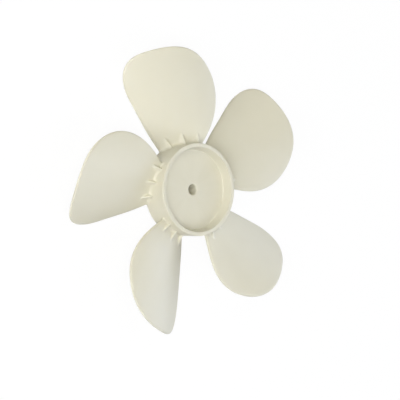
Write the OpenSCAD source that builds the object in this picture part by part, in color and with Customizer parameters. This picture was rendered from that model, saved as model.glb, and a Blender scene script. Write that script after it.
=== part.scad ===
// Axial fan wheel moulded in one piece: a cup-shaped hub with a shaft bore and
// five twisted, hollowed blades. The shaft's axis is Z, the hub's open cup faces +Z,
// and z = 0 is the plane of the hub's back rim and of the boss's end.

/* [Wheel] */
// Diameter over the blade tips
fan_d = 177; // [165:1:200]
// Number of blades
blade_n = 5; // [3:1:6]

/* [Hub] */
// Outer diameter of the hub
hub_d = 56; // [50:1:62]
// Height of the hub from back rim to front lip
hub_h = 17.5; // [15:0.5:20]
// Thickness of the hub's skirt behind the web
skirt_t = 2.6; // [2:0.1:3.4]
// Bevel on the outer edge of the back rim
rim_bevel = 0.5; // [0.2:0.1:1]
// Width of the lip round the front cup
lip_w = 2.8; // [2.2:0.1:3.6]
// Rounding of the lip's outer edge
lip_round = 1.5; // [0.5:0.1:2]
// Rounding of the lip's inner edge
mouth_round = 0.25; // [0.1:0.05:0.5]
// Depth of the front cup from the lip to its floor
cup_depth = 6; // [3:0.1:7]
// How much the cup narrows from its mouth to its floor, on the radius
cup_draft = 0.9; // [0.2:0.1:1.5]
// Rounding between the cup's wall and its floor
cup_round = 1.4; // [0.5:0.1:2.5]
// Thickness of the web that carries the boss
web_t = 2.4; // [1.6:0.1:3]

/* [Boss] */
// Diameter of the shaft bore
bore_d = 6.35; // [4:0.05:8]
// Bevel at the front mouth of the bore
bore_bevel = 0.25; // [0.1:0.05:0.5]
// Outer diameter of the boss behind the web
boss_d = 13; // [11:0.5:16]
// Number of stiffening ribs from the boss to the skirt
rib_n = 5; // [3:1:8]
// Thickness of a rib
rib_t = 1.4; // [1:0.1:2]
// Height of a rib behind the web
rib_h = 5; // [2:0.5:7]

/* [Blades] */
// Angle that one blade fills about the shaft, in degrees
blade_angle = 56; // [44:1:58]
// Drop from the hub's front lip to the blade's centre line where it leaves the hub
root_drop = 10.7; // [9:0.1:12]
// Slope of the blade across its centre line at the hub, in degrees
root_pitch = 22; // [14:0.5:26]
// Slope of the blade across its centre line at the tip, in degrees
tip_pitch = 10; // [4:0.5:18]
// Rise of the centre line towards the tip, in degrees
rake = 9; // [0:0.5:14]
// Radius of the hollow across the blade
camber_r = 59; // [50:1:90]
// Thickness of the blade at the hub
root_t = 2.2; // [1.6:0.1:3]
// Thickness of the blade at the tip
tip_t = 1.6; // [1.2:0.1:2.4]
// Fillet where the blade meets the hub
root_fillet = 1.6; // [0.6:0.1:3]

/* [Gussets] */
// Number of gussets in front of each blade's root
gusset_n = 3; // [2:1:4]
// Angle between neighbouring gussets, in degrees
gusset_angle = 16.3; // [8:0.1:17]
// Height of a gusset above the blade's middle surface
gusset_h = 6; // [4:0.1:7]
// Reach of a gusset along the blade
gusset_l = 5.5; // [3:0.1:9]
// Thickness of a gusset
gusset_t = 1; // [0.8:0.1:1.6]

/* [Hidden] */
$fn = 96;
hub_r = hub_d / 2;
span = fan_d / 2 - hub_r;
blade_step = 360 / blade_n;
floor_z = hub_h - cup_depth;
web_z = floor_z - web_t;
root_z = hub_h - root_drop;
mouth_r = hub_r - lip_w;
floor_r = mouth_r - cup_draft;
// A root ends inside the skirt, at the middle of its thickness
root_r = hub_r - skirt_t / 2;
// Small overlap by which one form runs into the next
bite = 0.3;

// The blade's outline seen along the shaft, from the root of the thin trailing edge round
// the tip to the root of the leading edge. Each point that steers the curve holds its
// share of the way from hub to tip, and its share of the blade's angle.
outline = [
    [0, 0.48], [0.13, 0.5], [0.45, 0.465], [0.72, 0.47], [1.01, 0.385], [0.995, 0.21],
    [0.97, -0.065], [0.79, -0.28], [0.50, -0.495], [0.17, -0.53], [0, -0.43]
];
// Steps from a root to the tip along each edge of the outline
edge_steps = 26;
// Extra rows close to the root, as shares of the first step, for the fillet
root_rows = [0, 0.38, 0.5, 0.62, 0.8];
// The blade's middle line ends in a focus, from which the tip fans out: its share of the way
// from hub to tip, its angle, and how many even steps reach it
focus_share = 0.66;
focus_angle = 0.07 * blade_angle;
focus_steps = 10;
focus_row = focus_steps + len(root_rows) - 1;
// Steps from the rounded edge to the middle line
cross_steps = 5;
// Share of the blade's thickness that stays square at its rounded edge
edge_land = 0.5;
// Steepest part of the fillet that is left out where it would run into the hub, as a share
fillet_cut = 0.15;

// Weight of one steering point in a cubic curve that starts and ends on its end points
last = len(outline) - 1;
function knot(i) = max(0, min(1, (i - 3) / (last - 2)));
function ramp(u, a, b) = b > a ? (u - a) / (b - a) : 0;
function weight(i, degree, u) = degree == 0
    ? (u >= knot(i) && (u < knot(i + 1) || (u == 1 && i == last)) ? 1 : 0)
    : ramp(u, knot(i), knot(i + degree)) * weight(i, degree - 1, u)
        + ramp(-u, -knot(i + degree + 1), -knot(i + 1)) * weight(i + 1, degree - 1, u);

// Steering points as radius and angle, with both ends inside the skirt
steer = [for (i = [0 : last])
    [i == 0 || i == last ? root_r : hub_r + outline[i][0] * span, outline[i][1] * blade_angle]];
function edge_point(u) = u == 0 ? steer[0] : u == 1 ? steer[last]
    : [for (k = [0, 1]) [for (i = [0 : last]) weight(i, 3, u) * steer[i][k]]
        * [for (i = [0 : last]) 1]];

// Height of the blade's middle surface at a radius and an angle: the centre line rises
// with the rake, and across it the surface slopes with the pitch and curves with the camber
function out_share(r) = (r - hub_r) / span;
function slope(r) = tan(root_pitch) + out_share(r) * (tan(tip_pitch) - tan(root_pitch));
function along(r, a) = r * a * PI / 180;
function surface_z(r, a) = root_z + tan(rake) * (r - hub_r) - slope(r) * along(r, a)
    - pow(along(r, a), 2) / (2 * camber_r);
function place(p) = [p[0] * cos(p[1]), p[0] * sin(p[1]), surface_z(p[0], p[1])];

// Unit normal of the middle surface, from two small steps on it
tiny = 0.01;
function unit(v) = v / norm(v);
function normal(p) =
    unit(cross(place(p + [tiny, 0]) - place(p), place(p + [0, tiny]) - place(p)));

// Half the thickness at a radius, with the root's fillet added
function fillet(d) = d > root_fillet ? 0
    : root_fillet - sqrt(pow(root_fillet, 2) - pow(root_fillet - max(d, fillet_cut * root_fillet), 2));
function half_t(r) = (root_t + (tip_t - root_t) * max(0, out_share(r))) / 2;

// Rows along both edges: the extra ones by the root, then even steps up to the tip
rows = concat(root_rows / edge_steps, [for (i = [1 : edge_steps]) i / edge_steps]);
tip_row = len(rows) - 1;
turn = 2 * tip_row;
function row_u(j) = j <= tip_row ? rows[j] / 2 : 1 - rows[turn - j] / 2;
focus_r = root_r + focus_share * span;
function spine(j) = let (s = min(1, rows[min(j, turn - j)] / rows[focus_row]))
    [root_r + s * (focus_r - root_r), s * focus_angle];

// The outline's points, and the same points moved inwards, square to the edge, to where the
// edge's rounding ends
edge = [for (j = [0 : turn]) edge_point(row_u(j))];
function inwards(p, a, b, d) =
    let (t = unit([b[0] - a[0], along(p[0], b[1] - a[1])]))
    p + [t[1] * d, -t[0] * d / along(p[0], 1)];
rim = [for (j = [0 : turn]) let (p = edge[j], d = half_t(p[0]))
    j == 0 || j == turn ? p - [0, sign(p[1]) * d / along(p[0], 1)]
        : inwards(p, edge_point(row_u(j) - tiny / turn), edge_point(row_u(j) + tiny / turn), d)];

// One side of the blade as rings from the edge inwards: the narrow edge, the end of its
// rounding, then even steps to the middle line, which both edges share
ring_n = cross_steps + 1;
function ring_point(j, m) = m == 0 ? edge[j]
    : rim[j] + (spine(j) - rim[j]) * (m - 1) / cross_steps;
function skin(p, m, side) =
    place(p) + side * normal(p) * (half_t(p[0]) * (m == 0 ? edge_land : 1) + fillet(p[0] - hub_r));
function rings(side) = [for (j = [0 : turn]) for (m = [0 : ring_n - 1])
    skin(ring_point(j, m), m, side)];
function middle(side) = [for (j = [0 : focus_row]) skin(spine(j), ring_n, side)];
side_n = (turn + 1) * ring_n + focus_row + 1;

// Number of a point, counted over both sides; ring_n is the middle line
function at(j, m, side) = side * side_n + (m < ring_n ? j * ring_n + m
    : (turn + 1) * ring_n + min(j, turn - j, focus_row));
function facing(f, flip) = flip ? [f[0], f[2], f[1]] : f;
function side_faces(side) = [for (j = [0 : turn - 1]) for (m = [0 : ring_n - 1])
    let (a = at(j, m, side), b = at(j + 1, m, side),
        c = at(j + 1, m + 1, side), d = at(j, m + 1, side))
    for (f = c == d ? [[a, b, c]] : [[a, b, c], [a, c, d]]) facing(f, side == 1)];
function edge_faces() = [for (j = [0 : turn - 1])
    let (a = at(j, 0, 0), b = at(j + 1, 0, 0), c = at(j + 1, 0, 1), d = at(j, 0, 1))
    for (f = [[a, c, b], [a, d, c]]) f];
function root_faces() = [for (j = [0, turn]) for (m = [0 : ring_n - 1])
    let (a = at(j, m, 0), b = at(j, m + 1, 0), c = at(j, m + 1, 1), d = at(j, m, 1))
    for (f = [[a, b, c], [a, c, d]]) facing(f, j == turn)];

// One blade along +X
module blade() {
    polyhedron(
        points = concat(rings(1), middle(1), rings(-1), middle(-1)),
        faces = concat(side_faces(0), side_faces(1), edge_faces(), root_faces()));
}

// A thin triangular plate that props the hub's wall on the blade, in the plane at an angle
module gusset(a) {
    function seat(r) = surface_z(r, a);
    reach = hub_r + gusset_l;
    top = min(seat(hub_r) + gusset_h, hub_h - lip_round);
    rotate([0, 0, a]) rotate([90, 0, 0])
        linear_extrude(height = gusset_t, center = true)
            polygon([
                [root_r, seat(hub_r)], [reach, seat(reach)],
                [hub_r + bite, top], [root_r, top]]);
}

// Round corner from one angle to another, as points
function corner(c, r, a, b, n = 8) =
    [for (i = [0 : n]) c + r * [cos(a + (b - a) * i / n), sin(a + (b - a) * i / n)]];

// The hub's section, turned about the shaft: skirt, lip, cup, web and boss
module hub() {
    rotate_extrude()
        polygon(concat(
            [[0, 0], [boss_d / 2, 0], [boss_d / 2, web_z],
                [hub_r - skirt_t, web_z], [hub_r - skirt_t, 0],
                [hub_r - rim_bevel, 0], [hub_r, rim_bevel]],
            corner([hub_r - lip_round, hub_h - lip_round], lip_round, 0, 90),
            corner([mouth_r + mouth_round, hub_h - mouth_round], mouth_round, 90, 180, 3),
            corner([floor_r - cup_round, floor_z + cup_round], cup_round, 0, -90),
            [[0, floor_z]]));
    for (i = [0 : rib_n - 1])
        rotate([0, 0, 90 + (i + 0.5) * 360 / rib_n])
            translate([boss_d / 2 - bite, -rib_t / 2, web_z - rib_h])
                cube([hub_r - skirt_t / 2 - boss_d / 2 + bite, rib_t, rib_h + bite]);
}

// The shaft bore with its bevelled mouth
module shaft_bore() {
    translate([0, 0, -1]) cylinder(d = bore_d, h = hub_h);
    translate([0, 0, floor_z - bore_bevel])
        cylinder(d1 = bore_d, d2 = bore_d + 4 * bore_bevel, h = 2 * bore_bevel);
}

// The whole moulding: the first blade points along +Y
module fan_blade() {
    color([0.87, 0.86, 0.80])
        difference() {
            union() {
                hub();
                for (i = [0 : blade_n - 1])
                    rotate([0, 0, 90 - i * blade_step]) {
                        blade();
                        for (k = [0 : gusset_n - 1])
                            gusset((k - (gusset_n - 1) / 2) * gusset_angle);
                    }
            }
            shaft_bore();
            // Nothing of the blade roots hangs below the hub's back rim
            translate([0, 0, -hub_h]) cylinder(r = hub_r, h = hub_h);
        }
}

fan_blade();
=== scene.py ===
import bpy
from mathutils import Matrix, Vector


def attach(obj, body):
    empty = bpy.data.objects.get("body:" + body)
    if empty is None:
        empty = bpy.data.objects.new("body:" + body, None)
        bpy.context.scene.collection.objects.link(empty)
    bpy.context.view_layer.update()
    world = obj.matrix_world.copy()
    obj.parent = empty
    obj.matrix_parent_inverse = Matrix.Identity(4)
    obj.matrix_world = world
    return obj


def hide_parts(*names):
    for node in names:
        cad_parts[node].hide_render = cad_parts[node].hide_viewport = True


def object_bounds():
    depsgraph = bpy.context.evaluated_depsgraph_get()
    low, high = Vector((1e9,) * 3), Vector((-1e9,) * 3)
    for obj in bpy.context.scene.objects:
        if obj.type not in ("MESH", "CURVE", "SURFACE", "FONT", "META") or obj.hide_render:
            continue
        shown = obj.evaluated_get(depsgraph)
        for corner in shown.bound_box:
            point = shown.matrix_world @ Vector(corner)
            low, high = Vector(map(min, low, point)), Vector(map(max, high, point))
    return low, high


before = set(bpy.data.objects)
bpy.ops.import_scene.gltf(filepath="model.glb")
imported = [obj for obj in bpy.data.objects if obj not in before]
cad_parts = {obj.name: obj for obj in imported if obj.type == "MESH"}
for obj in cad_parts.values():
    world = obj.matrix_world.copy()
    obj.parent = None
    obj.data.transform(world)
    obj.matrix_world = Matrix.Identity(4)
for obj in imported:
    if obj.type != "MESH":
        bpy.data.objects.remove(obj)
cad_box = [list(corner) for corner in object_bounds()]

import math

import bmesh
import bpy
import numpy as np
from mathutils import Vector, geometry

# A fan wheel with five blades, moulded in one piece in cream plastic. Sizes are in millimetres
# and angles in degrees, up to the meshes and node trees, which take metres and radians.
MM = 0.001
BLADES = 5
# The first blade points along +Y, as in part.scad, and the others follow it clockwise
FIRST_BLADE = 90
CLOCKWISE, COUNTER_CLOCKWISE = -1, 1
QUARTER_TURN = 90
# Flat sides of what is turned about the shaft, and the angle from which an edge looks sharp
TURN_STEPS = 180
SHARP_ANGLE = 38

# The hub and the boss: radii, and heights above the back rim
HUB = dict(
    radius=28, height=17.5, back_bevel=0.5, lip_round=0.5, mouth_radius=25.6,
    mouth_round=0.3, floor_radius=24.3, floor_round=0.7, floor=11.5, web=9.1,
    skirt_inside=25.4, boss_radius=6.5, bore_radius=3.175, bore_bevel=0.45,
    inner_fillet=0.7, soft_edge=0.15,
)
# Points along the straight stretches of the hub's section, which keep its faces short, and
# the steps in each of its round corners
BORE_ROWS = (2, 4, 6, 8, 10)
FLOOR_RINGS = (5, 8, 11, 14, 17, 20)
WALL_STEPS = 22
SKIRT_ROWS = (2, 4, 6)
WEB_RINGS = (20, 15, 10)
BOSS_ROWS = (6, 3)
CORNER_STEPS = dict(soft=3, floor=10, mouth=5, lip=12, bevel=6, inner=6)

# The ribs behind the web. Each runs a little way into the web, the boss and the skirt.
RIBS = dict(
    count=5, thickness=1.4, height=5, draft=0.12, foot=0.5, edge=0.25,
    into_web=0.3, into_walls=0.4, foot_steps=5, edge_steps=4,
)

# The blade's outline seen along the shaft, from the root of its trailing edge round the tip
# to the root of its leading edge, as part.scad has it. Each point that steers the curve holds
# its share of the way from the hub to the tip and its share of the blade's angle.
BLADE_ANGLE = 56
OUTLINE = [
    (0, 0.48), (0.13, 0.5), (0.45, 0.465), (0.72, 0.47), (1.01, 0.385), (0.995, 0.21),
    (0.97, -0.065), (0.79, -0.28), (0.50, -0.495), (0.17, -0.53), (0, -0.43),
]
# Width of the rounding along the blade's edge
EDGE_ROUND = 1.6

# How the blade meets the hub. Its root ends in the middle of the skirt. A fillet leaves out its
# steepest part, up to this share of its radius, and the trailing edge takes only a share of
# the flare.
ROOT_RADIUS = (HUB["radius"] + HUB["skirt_inside"]) / 2
ROOT_FILLET = 1.6
GUSSET_FILLET = 0.9
FILLET_START = 0.04
TRAILING_FLARE = 0.3

# Sizes that form the flat blank into the blade with its gussets
FORM = {
    "Hub radius": HUB["radius"] * MM,
    "Tip radius": 88.5 * MM,
    "Root height": 6.8 * MM,
    "Root pitch": math.radians(22),
    "Tip pitch": math.radians(10),
    "Rake": math.radians(9),
    "Camber radius": 59 * MM,
    "Root thickness": 2.2 * MM,
    "Tip thickness": 1.6 * MM,
    "Root fillet": ROOT_FILLET * MM,
    "Gusset fillet": GUSSET_FILLET * MM,
    "Gusset spacing": math.radians(16.3),
    "Gusset height": 4.3 * MM,
    "Gusset start": 0.3 * MM,
    "Gusset reach": 8 * MM,
    "Gusset thickness": 1.3 * MM,
    "Gusset top limit": 16 * MM,
    "Gusset soft top": 0.8 * MM,
}
# A gusset's side is a steep plate with a gentler apron round it. Their shares of its height,
# and where the apron starts and ends, in thicknesses from the middle line
PLATE_SHARE = 0.7
APRON_SHARE = 0.3
APRON_START = 0.3
APRON_END = 1.9
# A gusset stands only where the blade's edge is rounded past this share
GUSSET_FROM_SHARE = 0.5

# Rows of points round the shaft across the blade's root: two within the hub's wall, one on it,
# then steps that grow by a factor up to a limit
ROOT_ZONE = 9
BURIED_ROWS = (0.8, 0.35)
ROW_STEP = 0.05
ROW_GROWTH = 1.3
ROW_STEP_LIMIT = 0.6
# Share of the root's zone in which the way in from the edge swings from round the shaft to
# square to the edge
SWING_SHARE = 0.6

# Points along the edge: close samples of the outline, of which some are kept, at steps that
# grow up to a limit and stop a share of a step short of the last row
OUTLINE_SAMPLES = 60001
EDGE_STEP = 0.6
EDGE_GROWTH = 0.05
EDGE_STEP_LIMIT = 0.95
LAST_STEP_SHARE = 0.4
# Degrees between the rings of points across the edge's rounding, and points along the root
RING_TURN = 15
ROOT_POINTS = 40

# Columns of points beside a gusset's middle line, closest where its side is steep. They give
# way to its fillet, apart from the innermost, and the last three give way less and less.
GUSSET_COLUMNS = [
    0, 0.16, 0.3, 0.42, 0.54, 0.66, 0.78, 0.9, 1.03, 1.18, 1.38, 1.7, 2.2, 2.8,
]
FULL_PUSH_FROM = 0.3
LAST_PUSHES = (0.75, 0.4, 0)
# Columns between two gussets, and beyond the outer ones
COLUMNS_BETWEEN = 3
COLUMNS_BEYOND = 15
COLUMN_STEP = 1.2

# The even field of points over the rest of the blade: its pitch, where it starts as a share of
# the last row's radius, where it ends and how wide it is
FIELD_PITCH = 1.65
FIELD_START_SHARE = 0.7
FIELD_END = 90
FIELD_HALF_WIDTH = 48
# How far it keeps from the last row, in pitches, and how far all points keep from the edge, in
# widths of the edge's rounding
FIELD_GAP = 0.9
EDGE_GAP = 1.2

# Points closer than this count as one, in the flat blank and where the skins meet
BLANK_TOUCH = 1e-5
SKIN_TOUCH = 0.002 * MM
# The cutter that clears the blades from behind the hub: its depth, and its top above the rim
CUTTER_DEPTH = 20
CUTTER_TOP = 0.1

# The camera, fitted to the wheel's outline in the photograph: its place in metres, its turn in
# degrees, its lens and the nearest and farthest that it sees, in metres
CAMERA_PLACE = (-0.68528, 0.09559, 0.84786)
CAMERA_TURN = (0.5056, -39.8222, -9.2560)
LENS = 161.91
SENSOR_WIDTH = 36
NEAREST_SEEN = 0.05
FARTHEST_SEEN = 20

# Soft lamps round the wheel: azimuth from +X and elevation, power in watts, and colour. The
# camera's own azimuth is 172 degrees. Side of a lamp and its distance are in metres.
PLAIN, WARM, COOL = (1, 1, 1), (1, 0.97, 0.8), (0.78, 0.84, 1)
LAMP_SIZE = 0.7
LAMP_DISTANCE = 1.2
LAMPS = [
    ("camera side", 180, 50, 7.4, PLAIN),
    ("camera side, low", 180, 20, 4.9, PLAIN),
    ("top of the picture", 90, 50, 3.2, WARM),
    ("foot of the picture", 270, 50, 3.0, PLAIN),
    ("far side, low", 0, 5, 7.7, COOL),
    ("far side, right", 330, 30, 4.0, COOL),
]
ROOM_LIGHT = 0.03

# The floor: half its side in metres, its gap below the wheel in millimetres, its grey, and how
# much of it shows as white rather than with the wheel's shadow
FLOOR_REACH = 3.0
FLOOR_GAP = 0.02
FLOOR_GREY = (0.85, 0.85, 0.85, 1)
WHITE = (1, 1, 1, 1)
WHITE_SHARE = 0.92
WHITE_STRENGTH = 1.02

# The plastic: its darker and its lighter cream, the levels of cloudiness at which it reaches
# them, and the shares of the clouds and the flow marks in that cloudiness
DARKER_CREAM = (0.70, 0.673, 0.546, 1)
LIGHTER_CREAM = (0.728, 0.704, 0.586, 1)
DARKER_AT = 0.35
LIGHTER_AT = 0.65
CLOUD_SHARE = 0.6
FLOW_SHARE = 0.4
# How fast the flow marks change round the shaft, and outwards for each metre
FLOW_ROUND = 3.5
FLOW_OUTWARDS = 22.0


class Number:
    """A number in a node tree. Sums and products of it add Math nodes to the tree."""

    def __init__(self, nodes, socket):
        self.nodes = nodes
        self.socket = socket

    def __add__(self, other):
        return self.nodes.math("ADD", self, other)

    def __sub__(self, other):
        return self.nodes.math("SUBTRACT", self, other)

    def __mul__(self, other):
        return self.nodes.math("MULTIPLY", self, other)

    def __truediv__(self, other):
        return self.nodes.math("DIVIDE", self, other)

    def __rsub__(self, other):
        return self.nodes.math("SUBTRACT", other, self)

    __radd__ = __add__
    __rmul__ = __mul__


class Nodes:
    """A node tree, written one node at a time."""

    def __init__(self, tree):
        self.tree = tree

    def plug(self, socket, value):
        """Wires an output or a number to an input, or sets a constant there."""
        if isinstance(value, Number):
            value = value.socket
        if isinstance(value, bpy.types.NodeSocket):
            self.tree.links.new(value, socket)
        else:
            socket.default_value = value

    def node(self, kind, wires=(), out=0, **settings):
        """Adds a node, plugs its inputs by their names or numbers, and gives one output. A list
        is several outputs for one input."""
        node = self.tree.nodes.new(kind)
        for key, value in settings.items():
            setattr(node, key, value)
        for key, value in dict(wires).items():
            for one in value if isinstance(value, list) else [value]:
                self.plug(node.inputs[key], one)
        return node.outputs[out] if node.outputs else None

    def math(self, operation, *values):
        wires = dict(enumerate(values))
        return Number(self, self.node("ShaderNodeMath", wires, operation=operation))

    def vector(self, operation, *values, out=0):
        wires = dict(enumerate(values))
        return self.node("ShaderNodeVectorMath", wires, out=out, operation=operation)

    def scaled(self, vector, number):
        wires = {0: vector, "Scale": number}
        return self.node("ShaderNodeVectorMath", wires, operation="SCALE")

    def along_z(self, number):
        return self.node("ShaderNodeCombineXYZ", {"Z": number})


class ShapeNodes(Nodes):
    """A geometry node tree with named inputs."""

    def __init__(self, name):
        super().__init__(bpy.data.node_groups.new(name, "GeometryNodeTree"))
        self.inputs = {}
        self.source = self.tree.nodes.new("NodeGroupInput")
        self.geometry = self.given("Geometry", "NodeSocketGeometry")

    def given(self, name, kind):
        """Adds a named input and gives its output in the tree."""
        socket = self.tree.interface.new_socket(name, in_out="INPUT", socket_type=kind)
        self.inputs[name] = socket.identifier
        return self.source.outputs[name]

    def number(self, name):
        return Number(self, self.given(name, "NodeSocketFloat"))

    def attribute(self, name):
        """A number that each point of the shape carries under a name."""
        wires = {"Name": name}
        socket = self.node("GeometryNodeInputNamedAttribute", wires, data_type="FLOAT")
        return Number(self, socket)

    def place(self):
        """The x, y and z of each point, where it is by then."""
        spot = self.node("GeometryNodeInputPosition")
        return [
            Number(self, self.node("ShaderNodeSeparateXYZ", {0: spot}, out=i))
            for i in range(3)
        ]

    def fade(self, value, start, end):
        """One up to the start, nought past the end, with a smooth fall between them."""
        wires = {"Value": value, "From Min": start, "From Max": end, "To Min": 1.0, "To Max": 0.0}
        return Number(self, self.node("ShaderNodeMapRange", wires, interpolation_type="SMOOTHSTEP"))

    def corner(self, distance, radius):
        """How far a round inner corner stands out at a distance from the wall."""
        distance = self.math("MAXIMUM", distance, radius * FILLET_START)
        gap = radius - self.math("MINIMUM", distance, radius)
        return radius - self.math("SQRT", radius * radius - gap * gap)

    def moved(self, shape, offset):
        return self.node("GeometryNodeSetPosition", {"Geometry": shape, "Offset": offset})

    def kept(self, shape, vector, *numbers):
        """The shape, with a vector and some numbers as its points have them by now."""
        keep = self.tree.nodes.new("GeometryNodeCaptureAttribute")
        kinds = ["VECTOR"] + ["FLOAT"] * len(numbers)
        for i, (kind, value) in enumerate(zip(kinds, (vector, *numbers))):
            keep.capture_items.new(kind, f"kept {i}")
            self.plug(keep.inputs[i + 1], value)
        self.plug(keep.inputs[0], shape)
        later = [Number(self, keep.outputs[i + 2]) for i in range(len(numbers))]
        return keep.outputs[0], keep.outputs[1], *later

    def boolean(self, operation, wires):
        return self.node(
            "GeometryNodeMeshBoolean", wires, operation=operation, solver="MANIFOLD"
        )

    def around(self, shape, count, first_angle, direction):
        """Copies of a shape turned about the shaft, the first one at its own angle."""
        points = self.node("GeometryNodeMeshLine", {"Count": count, "Offset": (0, 0, 0)})
        index = Number(self, self.node("GeometryNodeInputIndex"))
        turn = index * (direction * math.tau / count) + first_angle
        angles = self.along_z(turn)
        rotation = self.node("FunctionNodeEulerToRotation", {"Euler": angles})
        wires = {"Points": points, "Instance": shape, "Rotation": rotation}
        copies = self.node("GeometryNodeInstanceOnPoints", wires)
        return self.node("GeometryNodeRealizeInstances", {"Geometry": copies})

    def finish(self, shape, material):
        """Ends the tree in one plain shape with its material."""
        whole = self.node("GeometryNodeRealizeInstances", {"Geometry": shape})
        dressed = self.node("GeometryNodeSetMaterial", {"Geometry": whole, "Material": material})
        self.tree.interface.new_socket(
            "Geometry", in_out="OUTPUT", socket_type="NodeSocketGeometry"
        )
        self.node("NodeGroupOutput", {0: dressed})


def arc(centre, radius, start, end, steps):
    """Points of a round corner, from one angle to another."""
    angles = [math.radians(start + (end - start) * i / steps) for i in range(steps + 1)]
    return [
        (centre[0] + radius * math.cos(a), centre[1] + radius * math.sin(a)) for a in angles
    ]


def hub_section():
    """The hub's closed section, counter-clockwise from the back mouth of the bore."""
    h, steps = HUB, CORNER_STEPS
    soft, inner, bevel = h["soft_edge"], h["inner_fillet"], h["back_bevel"]
    wall_end = h["height"] - h["lip_round"]
    wall = [
        (h["radius"], wall_end + (bevel - wall_end) * i / WALL_STEPS)
        for i in range(1, WALL_STEPS)
    ]
    return (
        arc((h["bore_radius"] + soft, soft), soft, 270, 180, steps["soft"])
        + [(h["bore_radius"], z) for z in BORE_ROWS]
        + [(h["bore_radius"], h["floor"] - h["bore_bevel"])]
        + [(h["bore_radius"] + h["bore_bevel"], h["floor"])]
        + [(r, h["floor"]) for r in FLOOR_RINGS]
        + arc((h["floor_radius"] - h["floor_round"], h["floor"] + h["floor_round"]),
              h["floor_round"], -90, 0, steps["floor"])
        + arc((h["mouth_radius"] + h["mouth_round"], h["height"] - h["mouth_round"]),
              h["mouth_round"], 180, 90, steps["mouth"])
        + arc((h["radius"] - h["lip_round"], wall_end), h["lip_round"], 90, 0, steps["lip"])
        + wall
        + arc((h["radius"] - bevel, bevel), bevel, 0, -90, steps["bevel"])
        + arc((h["skirt_inside"] + soft, soft), soft, 270, 180, steps["soft"])
        + [(h["skirt_inside"], z) for z in SKIRT_ROWS]
        + arc((h["skirt_inside"] - inner, h["web"] - inner), inner, 0, 90, steps["inner"])
        + [(r, h["web"]) for r in WEB_RINGS]
        + arc((h["boss_radius"] + inner, h["web"] - inner), inner, 90, 180, steps["inner"])
        + [(h["boss_radius"], z) for z in BOSS_ROWS]
        + arc((h["boss_radius"] - soft, soft), soft, 0, -90, steps["soft"])
    )


def turned(name, section):
    """A closed section turned about the shaft."""
    points = [(r * MM, z * MM) for r, z in section]
    count = len(points)
    vertices, faces = [], []
    for step in range(TURN_STEPS):
        a = math.tau * step / TURN_STEPS
        vertices += [(r * math.cos(a), r * math.sin(a), z) for r, z in points]
        here, there = step * count, (step + 1) % TURN_STEPS * count
        for i in range(count):
            j = (i + 1) % count
            faces.append((here + i, there + i, there + j, here + j))
    mesh = bpy.data.meshes.new(name)
    mesh.from_pydata(vertices, [], faces)
    return outward(mesh)


def outward(mesh):
    """The same closed mesh with every face pointing outwards."""
    work = bmesh.new()
    work.from_mesh(mesh)
    bmesh.ops.recalc_face_normals(work, faces=work.faces)
    work.to_mesh(mesh)
    work.free()
    return mesh


def rib_mesh():
    """One stiffening rib behind the web along +X: drafted, with a round edge and flared foot."""
    web, half, low = HUB["web"], RIBS["thickness"] / 2, HUB["web"] - RIBS["height"]
    foot, edge, draft = RIBS["foot"], RIBS["edge"], RIBS["draft"]
    side = (
        [(half + foot, web + RIBS["into_web"])]
        + arc((half + foot, web - foot), foot, 90, 180, RIBS["foot_steps"])
        + arc((half - draft - edge, low + edge), edge, 0, -90, RIBS["edge_steps"])
    )
    loop = side + [(-y, z) for y, z in reversed(side)]
    start = HUB["boss_radius"] - RIBS["into_walls"]
    end = HUB["skirt_inside"] + RIBS["into_walls"]
    vertices = [(x * MM, y * MM, z * MM) for x in (start, end) for y, z in loop]
    count = len(loop)
    faces = [
        (i, (i + 1) % count, count + (i + 1) % count, count + i) for i in range(count)
    ]
    faces += [tuple(range(count)), tuple(range(count, 2 * count))]
    mesh = bpy.data.meshes.new("rib")
    mesh.from_pydata(vertices, [], faces)
    return outward(mesh)


def spline(points, shares, degree=3):
    """A clamped curve steered by the points, cubic as it stands, at shares from 0 to 1."""
    points = np.array(points, float)
    last = len(points) - 1
    knots = np.clip((np.arange(last + degree + 2) - degree) / (last - degree + 1), 0, 1)
    just_short = 1 - 1e-12
    u = np.clip(np.asarray(shares, float), 0, just_short)
    spans = last + degree + 1
    basis = [((knots[i] <= u) & (u < knots[i + 1])).astype(float) for i in range(spans)]
    for rank in range(1, degree + 1):
        for i in range(spans - rank):
            left = knots[i + rank] - knots[i]
            right = knots[i + rank + 1] - knots[i + 1]
            rise = (u - knots[i]) / left * basis[i] if left > 0 else 0
            fall = (knots[i + rank + 1] - u) / right * basis[i + 1] if right > 0 else 0
            basis[i] = rise + fall
    return sum(basis[i][:, None] * points[i] for i in range(last + 1))


def fillet(distance, radius):
    """How far a round inner corner stands out at a distance from the wall."""
    gap = radius - np.clip(distance, FILLET_START * radius, radius)
    return radius - np.sqrt(radius**2 - gap**2)


def root_rows():
    """Radii of the rows of points by the blade's root, closest at the hub's wall."""
    hub = FORM["Hub radius"] / MM
    rows = [hub - depth for depth in BURIED_ROWS] + [hub]
    step = ROW_STEP
    while rows[-1] < hub + ROOT_ZONE:
        rows.append(rows[-1] + step)
        step = min(ROW_GROWTH * step, ROW_STEP_LIMIT)
    return rows


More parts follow.
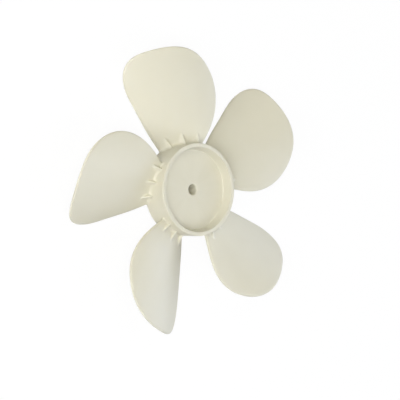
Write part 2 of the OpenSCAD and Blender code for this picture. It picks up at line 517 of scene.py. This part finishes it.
def flared_outline():
    """The blade's outline in close samples, from the trailing root round to the leading root:
    radius, angle, side of the blade (1 trailing, -1 leading) and size of the root's flare."""
    hub, tip = FORM["Hub radius"] / MM, FORM["Tip radius"] / MM
    steer = [(hub + share * (tip - hub), turn * BLADE_ANGLE) for share, turn in OUTLINE]
    steer[0] = (ROOT_RADIUS, steer[0][1])
    steer[-1] = (ROOT_RADIUS, steer[-1][1])
    radius, angle = spline(steer, np.linspace(0, 1, OUTLINE_SAMPLES)).T
    side = np.sign(OUTLINE_SAMPLES // 2 - np.arange(OUTLINE_SAMPLES))
    flare = fillet(radius - hub, ROOT_FILLET)
    angle = np.radians(angle) + np.where(side > 0, TRAILING_FLARE, -1) * flare / radius
    return radius, angle, side, flare


def ways_in(path, radius, angle, side):
    """Directions from the outline into the blade: round the shaft at the root, and square to
    the edge beyond it."""
    along = np.gradient(path, axis=0)
    along /= np.linalg.norm(along, axis=1)[:, None]
    square = np.stack([along[:, 1], -along[:, 0]], 1)
    across = np.stack([np.sin(angle), -np.cos(angle)], 1) * side[:, None]
    inner_end = ROOT_ZONE + FORM["Hub radius"] / MM
    near = np.clip((inner_end - radius) / (SWING_SHARE * ROOT_ZONE), 0, 1)[:, None]
    inward = near * across + (1 - near) * square
    return inward / np.linalg.norm(inward, axis=1)[:, None]


def edge_stops(path, radius, rows):
    """Which samples of the outline become points of the edge, and the row that each one ends,
    if any: where the outline crosses a row, and steps along it beyond the last row."""
    final = len(radius) - 1
    first = [int(np.argmax(radius > row)) for row in rows]
    last = [final - int(np.argmax(radius[::-1] > row)) for row in rows]
    length = np.concatenate([[0], np.cumsum(np.linalg.norm(np.diff(path, axis=0), axis=1))])
    between, reached, step = [], length[first[-1]], EDGE_STEP
    for i in range(first[-1], last[-1]):
        left = length[last[-1]] - length[i]
        if length[i] - reached >= step and left > LAST_STEP_SHARE * step:
            between.append(i)
            reached = length[i]
            step = min(step + EDGE_GROWTH, EDGE_STEP_LIMIT)
    stops = [0] + first + between + last[::-1] + [final]
    order = list(range(len(rows)))
    ends = [None] + order + [None] * len(between) + order[::-1] + [None]
    return stops, ends


def blade_edge(rows):
    """Points of the blade's edge in plan from the trailing root round to the leading root, with
    their way in, the width of the rounding there and the row that each one ends."""
    radius, angle, side, flare = flared_outline()
    path = np.stack([radius * np.cos(angle), radius * np.sin(angle)], 1)
    inward = ways_in(path, radius, angle, side)
    stops, ends = edge_stops(path, radius, rows)
    width = EDGE_ROUND + flare
    return path[stops], inward[stops], width[stops], ends


def inside(points, loop):
    """Which points lie within a closed loop."""
    hit = np.zeros(len(points), bool)
    x, y = points.T
    for (ax, ay), (bx, by) in zip(loop, np.roll(loop, -1, axis=0)):
        crosses = (ay > y) != (by > y)
        if ay != by:
            hit ^= crosses & (x < (bx - ax) * (y - ay) / (by - ay) + ax)
    return hit


def row_columns(radius):
    """Where the columns of points cross one row, as lengths round the shaft from the blade's
    middle line: beside each of the three gussets, between them and beyond them."""
    hub = FORM["Hub radius"] / MM
    spacing = FORM["Gusset spacing"]
    near = np.array(GUSSET_COLUMNS)
    gap = spacing * hub - 2 * near[-1]
    between = near[-1] + gap * np.arange(1, COLUMNS_BETWEEN + 1) / (COLUMNS_BETWEEN + 1)
    beyond = near[-1] + COLUMN_STEP * np.arange(1, COLUMNS_BEYOND + 1)
    pushed = near + fillet(radius - hub, GUSSET_FILLET) * np.clip(near / FULL_PUSH_FROM, 0, 1)
    pushed[-3:] = near[-3:] + (pushed[-4] - near[-4]) * np.array(LAST_PUSHES)
    beside = np.concatenate([-pushed[:0:-1], pushed])
    stretch = (spacing * radius - 2 * near[-1]) / gap
    middle = near[-1] + (between - near[-1]) * stretch
    outer = spacing * radius
    return np.concatenate([
        beside, outer + beside, -outer + beside, middle, -middle, outer + beyond, -outer - beyond,
    ])


def even_field(start):
    """An even triangular field of points beyond a radius, out past the blade's tip."""
    points = []
    lane = FIELD_PITCH * math.sqrt(3) / 2
    for i, x in enumerate(np.arange(start * FIELD_START_SHARE, FIELD_END, lane)):
        shift = FIELD_PITCH / 2 * (i % 2)
        for y in np.arange(-FIELD_HALF_WIDTH, FIELD_HALF_WIDTH, FIELD_PITCH) + shift:
            if math.hypot(x, y) > start + FIELD_GAP * FIELD_PITCH:
                points.append((x, y))
    return points


def field_points(rows, edge, width):
    """Points within the blade's edge, each with its row: rows and columns by the root and the
    gussets, then an even field without rows out to the tip."""
    points, owners = [], []
    for row, radius in enumerate(rows):
        columns = row_columns(radius)
        points += [(radius * math.cos(s / radius), radius * math.sin(s / radius)) for s in columns]
        owners += [row] * len(columns)
    field = even_field(rows[-1])
    points = np.array(points + field)
    owners += [None] * len(field)
    apart = np.sum((points[:, None] - edge[None]) ** 2, 2) ** 0.5
    keep = inside(points, edge) & np.all(apart > EDGE_GAP * width, axis=1)
    return points[keep], [owner for owner, kept in zip(owners, keep) if kept]


class Blank:
    """The points of a flat blank, with each one's share of the full thickness and its row, and
    the wires that join them."""

    def __init__(self):
        self.points = []
        self.shares = []
        self.rows = []
        self.wires = []

    def add(self, point, share, row=None):
        """Adds a point and gives its number."""
        self.points.append(point)
        self.shares.append(share)
        self.rows.append(row)
        return len(self.points) - 1

    def join(self, numbers):
        """Wires points to each other in their order."""
        self.wires += zip(numbers, numbers[1:])

    def mesh(self, name):
        """The blank filled with triangles, its share kept as an attribute."""
        flat = [Vector((float(x), float(y))) for x, y in self.points]
        only_inside = 1
        found, _, faces, origins, _, _ = geometry.delaunay_2d_cdt(
            flat, self.wires, [], only_inside, BLANK_TOUCH
        )
        mesh = bpy.data.meshes.new(name)
        mesh.from_pydata([(p.x * MM, p.y * MM, 0) for p in found], [], faces)
        values = [min((self.shares[i] for i in origin), default=1.0) for origin in origins]
        mesh.attributes.new("share", "FLOAT", "POINT").data.foreach_set("value", values)
        if sum(face.normal.z for face in mesh.polygons) < 0:
            mesh.flip_normals()
        return mesh


def root_arc(edge):
    """Points round the shaft from the end of the edge back to its start, within the skirt."""
    end, start = (math.atan2(edge[i][1], edge[i][0]) for i in (0, -1))
    angles = np.linspace(start, end, ROOT_POINTS)[1:-1]
    return [(ROOT_RADIUS * math.cos(a), ROOT_RADIUS * math.sin(a)) for a in angles]


def blade_blank():
    """One flat blade blank in plan, pointing along +X. Each point's share says how far it is
    through the edge's rounding: nought on the edge, one where the blade is full."""
    rows = root_rows()
    edge, inward, width, ends = blade_edge(rows)
    blank = Blank()
    loop = [blank.add(point, 0.0, row) for point, row in zip(edge, ends)]
    loop += [blank.add(point, 0.0) for point in root_arc(edge)]
    blank.join(loop + loop[:1])
    for turn in range(RING_TURN, QUARTER_TURN + 1, RING_TURN):
        share = 1 - math.cos(math.radians(turn))
        ring = []
        for i in range(1, len(edge) - 1):
            spot = edge[i] + inward[i] * width[i] * share
            if ends[i] is not None:
                spot *= rows[ends[i]] / np.hypot(*spot)
            ring.append(blank.add(spot, share, ends[i]))
        blank.join(ring)
    for point, row in zip(*field_points(rows, edge, width)):
        blank.add(point, 1.0, row)
    for row in range(len(rows)):
        line = [i for i, owner in enumerate(blank.rows) if owner == row]
        line.sort(key=lambda i: math.atan2(blank.points[i][1], blank.points[i][0]))
        blank.join(line)
    return blank.mesh("blade_blank")


def middle_height(tree, size, radius, angle):
    """Height of the blade's middle surface: its rake, its twist and the hollow across it."""
    hub, tip = size["Hub radius"], size["Tip radius"]
    root_slope = tree.math("TANGENT", size["Root pitch"])
    tip_slope = tree.math("TANGENT", size["Tip pitch"])
    rise = tree.math("TANGENT", size["Rake"])
    along = radius * angle
    slope = root_slope + (radius - hub) / (tip - hub) * (tip_slope - root_slope)
    hollow = along * along / (size["Camber radius"] * 2)
    return size["Root height"] + rise * (radius - hub) - slope * along - hollow


def bent_blank(tree, size):
    """The flat blank bent to the blade's middle surface, with the way to its front skin and
    the radius, angle and height of each point. The way keeps square to the radius, so that
    what lies on the hub's wall stays on it."""
    x, y, _ = tree.place()
    radius = tree.math("SQRT", x * x + y * y)
    angle = tree.math("ARCTAN2", y, x)
    height = middle_height(tree, size, radius, angle)
    bent = tree.moved(tree.geometry, tree.along_z(height))
    outwards = tree.node("ShaderNodeCombineXYZ", {"X": x / radius, "Y": y / radius})
    normal = tree.node("GeometryNodeInputNormal")
    lean = tree.vector("DOT_PRODUCT", normal, outwards, out="Value")
    way = tree.vector("SUBTRACT", normal, tree.scaled(outwards, lean))
    return tree.kept(bent, way, radius, angle, height)


def blade_skins(tree, size, bent, way, share, radius, height):
    """The front and back skins: round along the edge and flared at the root. The back one
    doesn't flare where it leaves the hub below the back rim."""
    hub, tip = size["Hub radius"], size["Tip radius"]
    edge = tree.math("SQRT", 1 - (1 - share) * (1 - share))
    out_share = tree.math("MAXIMUM", (radius - hub) / (tip - hub), 0.0)
    root_t, tip_t = size["Root thickness"], size["Tip thickness"]
    half = (root_t + (tip_t - root_t) * out_share) / 2
    flare = tree.corner(radius - hub, size["Root fillet"])
    wall_below = 1 - tree.fade(height - half, 0.0, size["Root fillet"])
    front = tree.moved(bent, tree.scaled(way, (half + flare) * edge))
    back = tree.moved(bent, tree.scaled(way, (half + flare * wall_below) * edge * -1.0))
    return front, tree.node("GeometryNodeFlipFaces", {"Mesh": back})


def with_gussets(tree, size, front, share, radius, angle):
    """The front skin raised to the nearest of three gussets, whose tops slope down from the
    hub's wall to the blade."""
    hub, spacing, start = size["Hub radius"], size["Gusset spacing"], size["Gusset start"]
    nearest = tree.math("MAXIMUM", tree.math("ROUND", angle / spacing), -1.0)
    middle = tree.math("MINIMUM", nearest, 1.0) * spacing
    seat = middle_height(tree, size, hub, middle)
    top = tree.math("MINIMUM", seat + size["Gusset height"], size["Gusset top limit"])
    foot = middle_height(tree, size, hub + size["Gusset reach"], middle)
    out = tree.math("MAXIMUM", radius - hub - start, 0.0) / (size["Gusset reach"] - start)
    above = top + (foot - top) * out - tree.place()[2]
    height = tree.math("SMOOTH_MAX", above, 0.0, size["Gusset soft top"])
    aside = tree.math("ABSOLUTE", radius * (angle - middle))
    aside = aside - tree.corner(radius - hub, size["Gusset fillet"])
    thickness = size["Gusset thickness"]
    plate = tree.fade(aside, 0.0, thickness) * PLATE_SHARE
    apron = tree.fade(aside, thickness * APRON_START, thickness * APRON_END) * APRON_SHARE
    off_edge = tree.math("GREATER_THAN", share, GUSSET_FROM_SHARE)
    return tree.moved(front, tree.along_z(height * (plate + apron) * off_edge))


def joined_blades(tree, size, front, back):
    """The blades round the shaft, closed along their edges and cleared from behind the hub."""
    blade = tree.node("GeometryNodeJoinGeometry", {0: [front, back]})
    wires = {"Geometry": blade, "Distance": SKIN_TOUCH}
    blade = tree.node("GeometryNodeMergeByDistance", wires)
    blades = tree.around(blade, BLADES, math.radians(FIRST_BLADE), CLOCKWISE)
    wires = {"Vertices": TURN_STEPS, "Radius": size["Hub radius"], "Depth": CUTTER_DEPTH * MM}
    cutter = tree.node("GeometryNodeMeshCylinder", wires)
    drop = (0, 0, (CUTTER_TOP - CUTTER_DEPTH / 2) * MM)
    cutter = tree.node("GeometryNodeTransform", {"Geometry": cutter, "Translation": drop})
    return tree.boolean("DIFFERENCE", {"Mesh 1": blades, "Mesh 2": cutter})


def wheel_tree(material):
    """Forms the flat blank into a blade with its gussets, sets the blades and the ribs round
    the shaft and joins them to the hub."""
    tree = ShapeNodes("Fan wheel")
    size = {name: tree.number(name) for name in FORM}
    hub = tree.given("Hub", "NodeSocketObject")
    rib = tree.given("Rib", "NodeSocketObject")
    bent, way, radius, angle, height = bent_blank(tree, size)
    share = tree.attribute("share")
    front, back = blade_skins(tree, size, bent, way, share, radius, height)
    front = with_gussets(tree, size, front, share, radius, angle)
    blades = joined_blades(tree, size, front, back)
    rib = tree.node("GeometryNodeObjectInfo", {"Object": rib}, out="Geometry")
    between_blades = math.radians(FIRST_BLADE) + math.pi / RIBS["count"]
    ribs = tree.around(rib, RIBS["count"], between_blades, COUNTER_CLOCKWISE)
    hub = tree.node("GeometryNodeObjectInfo", {"Object": hub}, out="Geometry")
    whole = tree.boolean("UNION", {"Mesh 2": [hub, blades, ribs]})
    whole = tree.node("GeometryNodeSetShadeSmooth", {"Geometry": whole})
    tree.finish(whole, material)
    return tree


def fan_wheel(material):
    """The whole moulding as one plain mesh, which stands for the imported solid."""
    blank = bpy.data.objects.new("blade_blank", blade_blank())
    hub = bpy.data.objects.new("hub_blank", turned("hub", hub_section()))
    rib = bpy.data.objects.new("rib_blank", rib_mesh())
    for thing in (blank, hub, rib):
        bpy.context.collection.objects.link(thing)
    nodes = wheel_tree(material)
    modifier = blank.modifiers.new("Fan wheel", "NODES")
    modifier.node_group = nodes.tree
    for name, value in FORM.items():
        modifier[nodes.inputs[name]] = value
    modifier[nodes.inputs["Hub"]] = hub
    modifier[nodes.inputs["Rib"]] = rib
    depsgraph = bpy.context.evaluated_depsgraph_get()
    mesh = bpy.data.meshes.new_from_object(blank.evaluated_get(depsgraph))
    mesh.name = "fan_wheel"
    mesh.set_sharp_from_angle(angle=math.radians(SHARP_ANGLE))
    for thing in (blank, hub, rib):
        bpy.data.objects.remove(thing)
    wheel = bpy.data.objects.new("moulded_fan_blade", mesh)
    bpy.context.collection.objects.link(wheel)
    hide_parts("fan_blade")
    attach(wheel, "root")
    return wheel


def empty_nodes(owner):
    """An emptied node tree for a material or a world."""
    owner.use_nodes = True
    owner.node_tree.nodes.clear()
    return Nodes(owner.node_tree)


def flow_marks(s, place):
    """Streaks that fan out from the shaft, as the plastic ran from the gate."""
    plan = s.vector("MULTIPLY", place, (1, 1, 0))
    fan = s.scaled(s.vector("NORMALIZE", plan), FLOW_ROUND)
    far = s.along_z(s.vector("LENGTH", plan, out="Value"))
    fan = s.vector("ADD", fan, s.scaled(far, FLOW_OUTWARDS))
    wires = {"Vector": fan, "Scale": 1.0, "Detail": 2.0, "Distortion": 0.4}
    return s.node("ShaderNodeTexNoise", wires)


def cream_plastic():
    """Satin cream plastic: a faint cloudiness, flow marks that fan out from the gate and a
    fine sparked surface."""
    material = bpy.data.materials.new("satin cream plastic")
    s = empty_nodes(material)
    place = s.node("ShaderNodeTexCoord", out="Object")
    wires = {"Vector": place, "Scale": 26.0, "Detail": 3.0, "Roughness": 0.55}
    cloud = s.node("ShaderNodeTexNoise", wires)
    flow = flow_marks(s, place)
    blend = s.math("MULTIPLY_ADD", cloud, CLOUD_SHARE, s.math("MULTIPLY", flow, FLOW_SHARE))
    colour = s.node("ShaderNodeValToRGB", {0: blend})
    darker, lighter = colour.node.color_ramp.elements
    darker.position = DARKER_AT
    darker.color = DARKER_CREAM
    lighter.position = LIGHTER_AT
    lighter.color = LIGHTER_CREAM
    wires = {"Value": cloud, "From Min": 0.3, "From Max": 0.7, "To Min": 0.45, "To Max": 0.51}
    gloss = s.node("ShaderNodeMapRange", wires)
    wires = {"Vector": place, "Scale": 1600.0, "Detail": 2.0, "Roughness": 0.6}
    grain = s.node("ShaderNodeTexNoise", wires)
    waves = s.node("ShaderNodeBump", {"Strength": 0.25, "Distance": 0.0004, "Height": flow})
    wires = {"Strength": 0.12, "Distance": 0.00003, "Height": grain, "Normal": waves}
    bump = s.node("ShaderNodeBump", wires)
    plastic = s.node("ShaderNodeBsdfPrincipled", {
        "Base Color": colour, "Roughness": gloss, "Normal": bump, "IOR": 1.48,
        "Subsurface Weight": 0.12, "Subsurface Radius": (1.0, 0.9, 0.7),
        "Subsurface Scale": 0.002,
    })
    s.node("ShaderNodeOutputMaterial", {"Surface": plastic})
    return material


def seen_as_white(s):
    """One for a ray from the camera, a reflection or clear glass, nought for other light."""
    path = s.tree.nodes.new("ShaderNodeLightPath").outputs
    mirrored = s.math("MAXIMUM", path["Is Glossy Ray"], path["Is Transmission Ray"])
    return s.math("MAXIMUM", path["Is Camera Ray"], mirrored)


def white_floor(height):
    """A plain pale floor that keeps a faint shadow and is white to the camera."""
    material = bpy.data.materials.new("pale floor")
    s = empty_nodes(material)
    matt = s.node("ShaderNodeBsdfDiffuse", {"Color": FLOOR_GREY})
    white = s.node("ShaderNodeEmission", {"Color": WHITE, "Strength": WHITE_STRENGTH})
    share = s.math("MULTIPLY", seen_as_white(s), WHITE_SHARE)
    mixed = s.node("ShaderNodeMixShader", {0: share, 1: matt, 2: white})
    s.node("ShaderNodeOutputMaterial", {"Surface": mixed})
    corners = [(-1, -1), (1, -1), (1, 1), (-1, 1)]
    mesh = bpy.data.meshes.new("floor")
    mesh.from_pydata(
        [(x * FLOOR_REACH, y * FLOOR_REACH, height) for x, y in corners], [], [(0, 1, 2, 3)]
    )
    mesh.materials.append(material)
    floor = bpy.data.objects.new("floor", mesh)
    bpy.context.collection.objects.link(floor)


def room_light(strength):
    """Even light from all sides, white where the camera or a reflection sees it."""
    world = bpy.data.worlds.new("studio")
    s = empty_nodes(world)
    wires = {"Value": seen_as_white(s), "To Min": strength, "To Max": 1.0}
    level = s.node("ShaderNodeMapRange", wires)
    background = s.node("ShaderNodeBackground", {"Color": WHITE, "Strength": level})
    s.node("ShaderNodeOutputWorld", {"Surface": background})
    bpy.context.scene.world = world


def soft_lamp(name, azimuth, elevation, power, colour):
    """A square lamp that looks at the wheel from a direction."""
    lamp = bpy.data.lights.new(name, "AREA")
    lamp.shape = "SQUARE"
    lamp.size = LAMP_SIZE
    lamp.energy = power
    lamp.color = colour
    turn, lift = math.radians(azimuth), math.radians(elevation)
    way = Vector((math.cos(turn) * math.cos(lift), math.sin(turn) * math.cos(lift), math.sin(lift)))
    thing = bpy.data.objects.new(name, lamp)
    thing.location = way * LAMP_DISTANCE
    thing.rotation_euler = way.to_track_quat("Z", "Y").to_euler()
    bpy.context.collection.objects.link(thing)


def camera():
    """The photograph's view: from the side of -X, 50 degrees above the wheel's plane, with +Y
    towards the top of the picture."""
    data = bpy.data.cameras.new("camera")
    data.lens = LENS
    data.sensor_width = SENSOR_WIDTH
    data.clip_start = NEAREST_SEEN
    data.clip_end = FARTHEST_SEEN
    thing = bpy.data.objects.new("camera", data)
    thing.location = CAMERA_PLACE
    thing.rotation_euler = [math.radians(a) for a in CAMERA_TURN]
    bpy.context.collection.objects.link(thing)
    bpy.context.scene.camera = thing


camera()
bpy.context.scene.view_settings.view_transform = "Standard"
fan_wheel(cream_plastic())
white_floor(cad_box[0][2] - FLOOR_GAP * MM)
room_light(ROOM_LIGHT)
for lamp in LAMPS:
    soft_lamp(*lamp)
